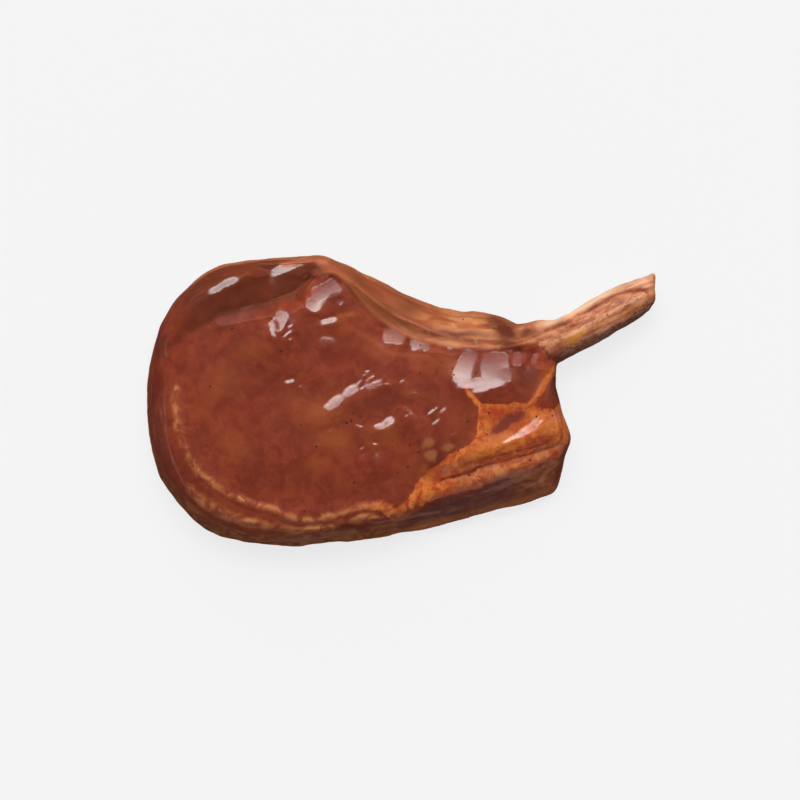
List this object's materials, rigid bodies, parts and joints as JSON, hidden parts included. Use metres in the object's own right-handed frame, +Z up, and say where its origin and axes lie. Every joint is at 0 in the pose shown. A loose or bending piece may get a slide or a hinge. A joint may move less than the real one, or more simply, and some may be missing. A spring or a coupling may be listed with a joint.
{
  "type": "tomahawk steak",
  "caption": "Raw tomahawk steak in thick glossy marinade: a thick flat slice of loin with a fat edge, and its curved rib left long as a handle.",
  "frame": {"origin": "on the surface that the steak lies on, under the middle of its box", "axes": "+X towards the end of the rib handle, +Y towards the rib side of the loin, +Z up out of the cut face"},
  "size_m": [0.1798, 0.1034, 0.0249],
  "materials": {
    "glazed_meat": "wet red-brown marinade over raw loin, with orange fat seams",
    "glazed_bone": "thin orange-brown marinade over the rib and its membrane",
    "spice": "dark flakes of spice in the marinade"
  },
  "bodies": {
    "root": {"loin_meat": "glazed_meat", "rib_bone": "glazed_bone"}
  },
  "joints": []
}
